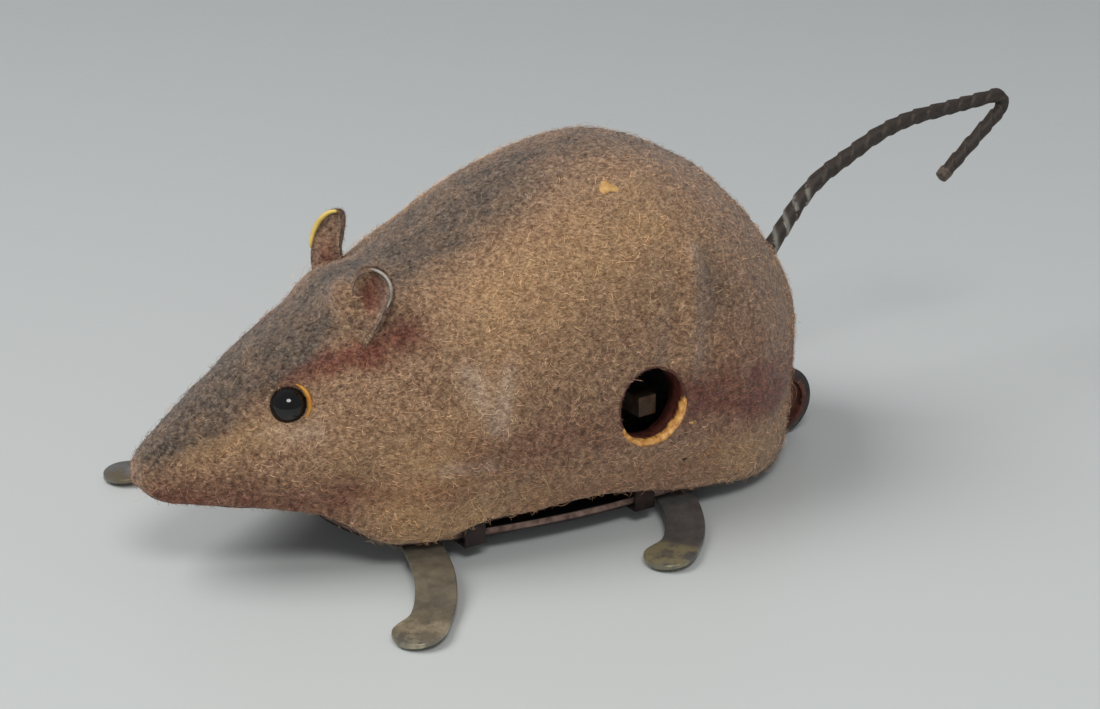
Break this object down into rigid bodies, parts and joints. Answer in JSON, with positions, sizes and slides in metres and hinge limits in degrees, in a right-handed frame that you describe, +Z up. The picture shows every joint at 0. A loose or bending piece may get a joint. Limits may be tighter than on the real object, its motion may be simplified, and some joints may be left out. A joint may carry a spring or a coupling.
{
  "type": "clockwork mouse",
  "caption": "Flock-covered tin clockwork mouse on wheels, with tin feet and ears, glass bead eyes, a taped wire tail and a spring motor wound through a side keyhole.",
  "frame": {"origin": "on the floor, under the middle of the bounding box", "axes": "+X from the nose to the tail, -Y to the mouse's left, +Z up"},
  "size_m": [0.113, 0.0562, 0.0372],
  "materials": {
    "flock": "short flock, matt, darker along the back",
    "shell_tin": "lacquered tin",
    "ear_tin": "flocked tin with a bare rim",
    "black_glass": "polished black glass",
    "wire_steel": "drawn wire",
    "tail_tape": "dark waxed tape",
    "base_tin": "tarnished tin",
    "foot_tin": "tarnished tin, rubbed bright at the rims",
    "rivet_steel": "dull steel",
    "frame_steel": "rolled sheet steel",
    "arbor_steel": "turned steel, lightly rusted",
    "hard_steel": "stamped steel",
    "spring_steel": "blued spring steel",
    "gear_brass": "stamped brass",
    "wheel_paint": "red-brown lacquer",
    "tyre_rubber": "hardened rubber",
    "front_wheel_metal": "turned metal"
  },
  "bodies": {
    "mouse_body": {"body_shell": "shell_tin", "flock_covering": "flock", "ear_left": "ear_tin", "ear_right": "ear_tin", "eye_bead_left": "black_glass", "eye_bead_right": "black_glass", "eye_wire": "wire_steel", "tail_wire": "wire_steel", "tail_wrapping": "tail_tape", "base_plate": "base_tin", "front_leg_left": "foot_tin", "front_leg_right": "foot_tin", "rear_leg_left": "foot_tin", "rear_leg_right": "foot_tin", "leg_rivets": "rivet_steel", "frame_plate_left": "frame_steel", "frame_plate_right": "frame_steel", "frame_pillars": "frame_steel", "pillar_rivets": "rivet_steel", "mainspring": "spring_steel", "front_axle": "arbor_steel"},
    "great_wheel": {"great_wheel": "gear_brass", "click_rivet": "hard_steel", "click_spring": "spring_steel"},
    "click": {"click": "hard_steel"},
    "winder": {"winding_arbor": "arbor_steel", "ratchet_wheel": "hard_steel"},
    "second_arbor": {"second_arbor": "arbor_steel", "second_pinion": "gear_brass", "second_wheel": "gear_brass"},
    "third_arbor": {"third_arbor": "arbor_steel", "third_pinion": "gear_brass", "third_wheel": "gear_brass"},
    "drive_axle": {"drive_axle": "arbor_steel", "drive_pinion": "gear_brass", "drive_wheel_left": "wheel_paint", "drive_wheel_right": "wheel_paint", "tyre_left": "tyre_rubber", "tyre_right": "tyre_rubber"},
    "front_wheel": {"front_wheel": "front_wheel_metal"}
  },
  "joints": [
    {"name": "great_wheel_spin", "type": "hinge", "parent": "mouse_body", "child": "great_wheel", "pos_m": [-0.00697, 0.0009, 0.0129], "axis": [0, 1, 0], "continuous": true, "deforming": ["mainspring"]},
    {"name": "winding", "type": "hinge", "parent": "great_wheel", "child": "winder", "pos_m": [-0.00697, 0, 0.0129], "axis": [0, 1, 0], "range_deg": [0, 1440], "deforming": ["mainspring"]},
    {"name": "click_lift", "type": "hinge", "parent": "great_wheel", "child": "click", "pos_m": [-0.00291, 0.0001, 0.0181], "axis": [0, -1, 0], "range_deg": [0, 12], "stiffness_Nm_per_rad": 0.0001, "deforming": ["click_spring"]},
    {"name": "second_arbor_spin", "type": "hinge", "parent": "mouse_body", "child": "second_arbor", "pos_m": [0.00498, 0, 0.01185], "axis": [0, 1, 0], "continuous": true},
    {"name": "third_arbor_spin", "type": "hinge", "parent": "mouse_body", "child": "third_arbor", "pos_m": [0.01312, 0, 0.0094], "axis": [0, 1, 0], "continuous": true},
    {"name": "drive_wheels_spin", "type": "hinge", "parent": "mouse_body", "child": "drive_axle", "pos_m": [0.01833, 0, 0.004], "axis": [0, 1, 0], "continuous": true},
    {"name": "front_wheel_spin", "type": "hinge", "parent": "mouse_body", "child": "front_wheel", "pos_m": [-0.02567, 0, 0.0032], "axis": [0, 1, 0], "continuous": true}
  ],
  "couplings": [
    {"joint": "third_arbor_spin", "follows": "drive_wheels_spin", "ratio": -0.5},
    {"joint": "second_arbor_spin", "follows": "drive_wheels_spin", "ratio": 0.20833},
    {"joint": "great_wheel_spin", "follows": "drive_wheels_spin", "ratio": -0.069444}
  ]
}
